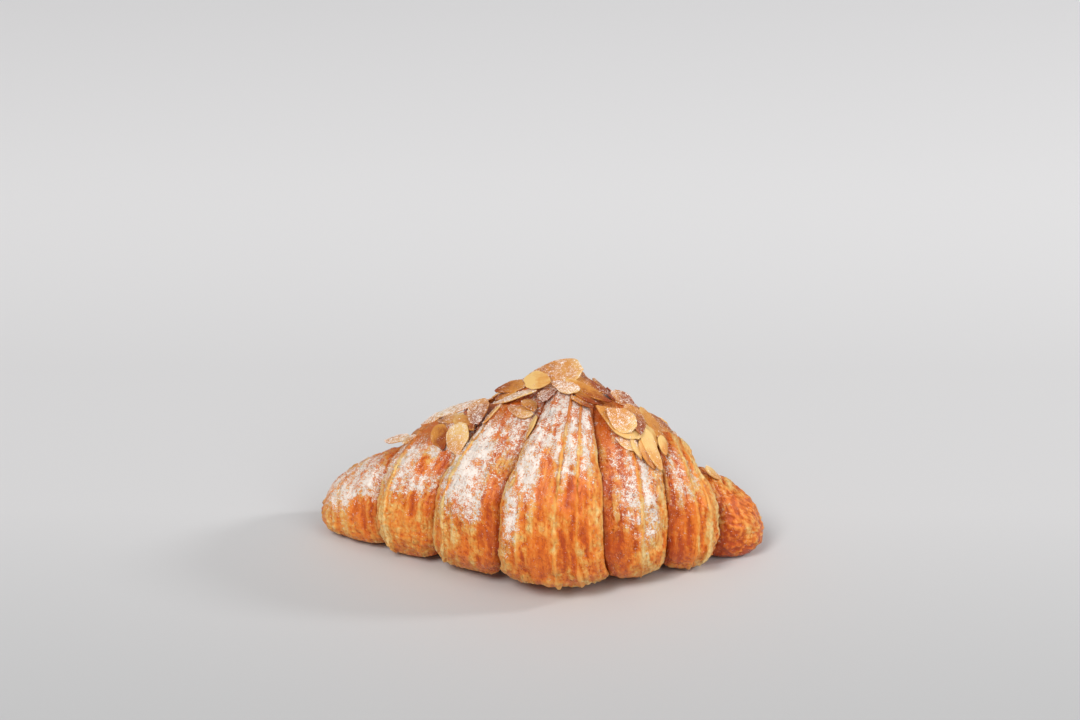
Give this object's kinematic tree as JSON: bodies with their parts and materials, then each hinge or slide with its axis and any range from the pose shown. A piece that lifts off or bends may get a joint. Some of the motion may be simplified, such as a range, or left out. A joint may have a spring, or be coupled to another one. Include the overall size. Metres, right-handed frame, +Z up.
{
  "type": "almond croissant",
  "caption": "Crescent-shaped baked pastry with overlapping wraps of flaky dough and flaked almonds along its crest.",
  "frame": {"origin": "on the table, under the middle of the croissant's box", "axes": "+X along the croissant towards its blunter tip, -Y to the bulging front, +Z up"},
  "size_m": [0.1738, 0.0946, 0.0792],
  "materials": {
    "crust": "baked golden brown laminated crust, egg-washed, satin, dusted with icing sugar",
    "almond": "toasted flaked almonds, satin, tan to brown",
    "sugar": "matte white icing sugar in fine clumps"
  },
  "bodies": {
    "root": {"croissant": "crust"}
  },
  "joints": []
}
